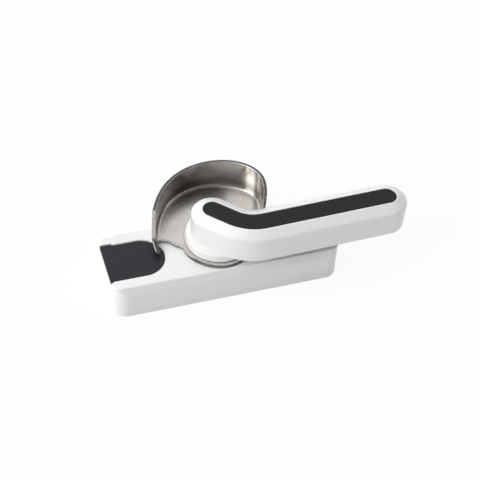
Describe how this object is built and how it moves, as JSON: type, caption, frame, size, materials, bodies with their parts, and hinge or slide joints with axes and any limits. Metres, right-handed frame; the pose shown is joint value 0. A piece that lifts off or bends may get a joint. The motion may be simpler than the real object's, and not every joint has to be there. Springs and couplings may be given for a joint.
{
  "type": "crescent lock",
  "caption": "Sliding window crescent lock: long low base with sliding screw covers, a stamped crescent hook and a bent lever handle that turns it.",
  "frame": {"origin": "on the mounting face, midway between the two fixing screws; the pivot is 1.4 mm from it towards +Y", "axes": "+X along the base towards the handle's free end when locked, +Y towards the side on which the crescent reaches out over the other sash, +Z away from the window"},
  "size_m": [0.104, 0.0428, 0.029],
  "materials": {
    "white_enamel": "gloss",
    "satin_steel": "satin",
    "black_plastic": "satin",
    "nylon": "matt",
    "zinc_steel": "zinc plated",
    "spring_steel": "rolled"
  },
  "bodies": {
    "base": {"base_housing": "white_enamel", "pivot_bush": "nylon", "thrust_washer": "nylon", "closing_plate": "zinc_steel", "closing_screw_1": "zinc_steel", "closing_screw_2": "zinc_steel", "closing_screw_3": "zinc_steel", "closing_screw_4": "zinc_steel", "leaf_spring_front": "spring_steel", "leaf_spring_rear": "spring_steel"},
    "lever": {"crescent": "satin_steel", "spindle": "zinc_steel", "handle": "white_enamel", "handle_inlay": "black_plastic", "detent_block": "nylon", "disc_spring": "spring_steel", "end_washer": "zinc_steel", "end_screw": "zinc_steel"},
    "left_cover": {"screw_cover_left": "black_plastic"},
    "right_cover": {"screw_cover_right": "black_plastic"}
  },
  "joints": [
    {"name": "lever_turn", "type": "hinge", "parent": "base", "child": "lever", "pos_m": [0, 0.0014, 0.013], "axis": [0, 0, 1], "range_deg": [-180, 0], "deforming": ["leaf_spring_front", "leaf_spring_rear"]},
    {"name": "left_cover_slide", "type": "slide", "parent": "base", "child": "left_cover", "axis": [-1, 0, 0], "range_m": [0, 0.017]},
    {"name": "right_cover_slide", "type": "slide", "parent": "base", "child": "right_cover", "axis": [1, 0, 0], "range_m": [0, 0.017]}
  ]
}
